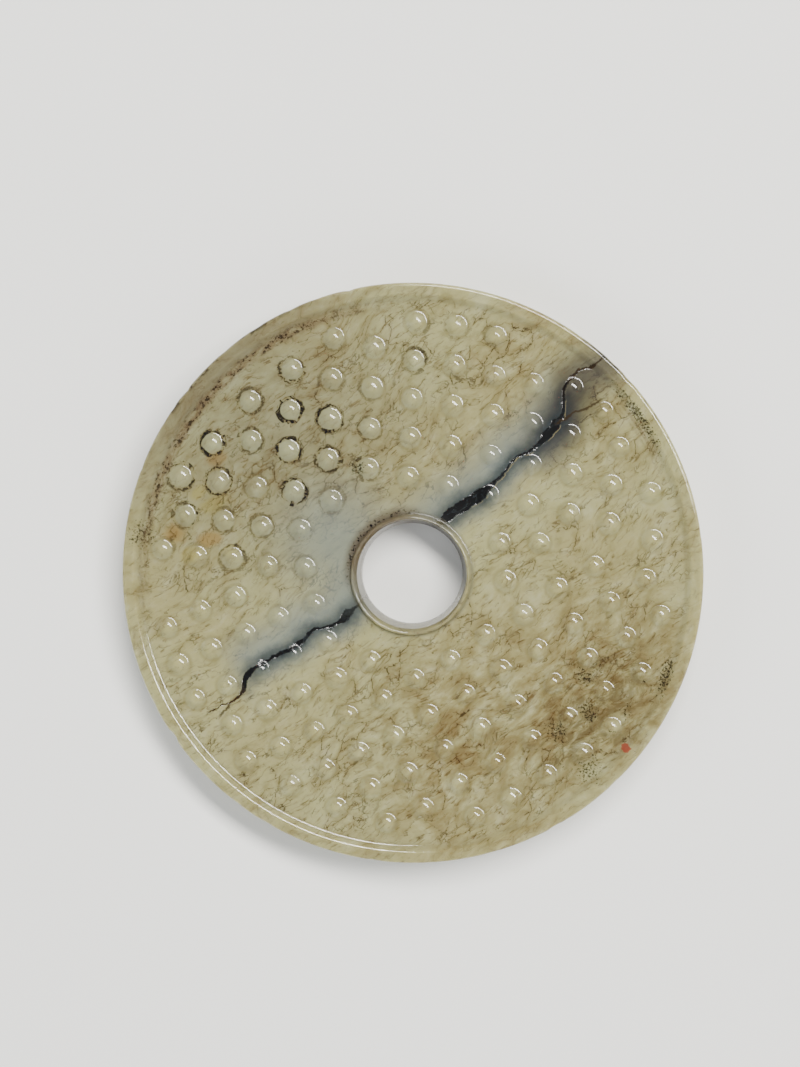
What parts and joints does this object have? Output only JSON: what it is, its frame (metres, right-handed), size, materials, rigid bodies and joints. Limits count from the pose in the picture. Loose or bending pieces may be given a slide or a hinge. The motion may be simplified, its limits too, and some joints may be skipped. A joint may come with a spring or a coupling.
{
  "type": "jade bi disc",
  "caption": "Flat round jade disc with a central bore, a narrow raised rim and lip, and rows of low domed grains carved on both faces.",
  "frame": {"origin": "under the middle of the disc, on the plane that its back rim rests on", "axes": "+Z along the bore, out of the front face; +X and +Y in the plane of the disc, with the dark vein of the front running from -X -Y to +X +Y"},
  "size_m": [0.058, 0.058, 0.0052],
  "materials": {
    "jade": "polished, slightly translucent grey-green nephrite with fine brown crackle, brown stains and a near-black vein in a blue-grey halo"
  },
  "bodies": {
    "root": {"jade_bi_disc": "jade"}
  },
  "joints": []
}
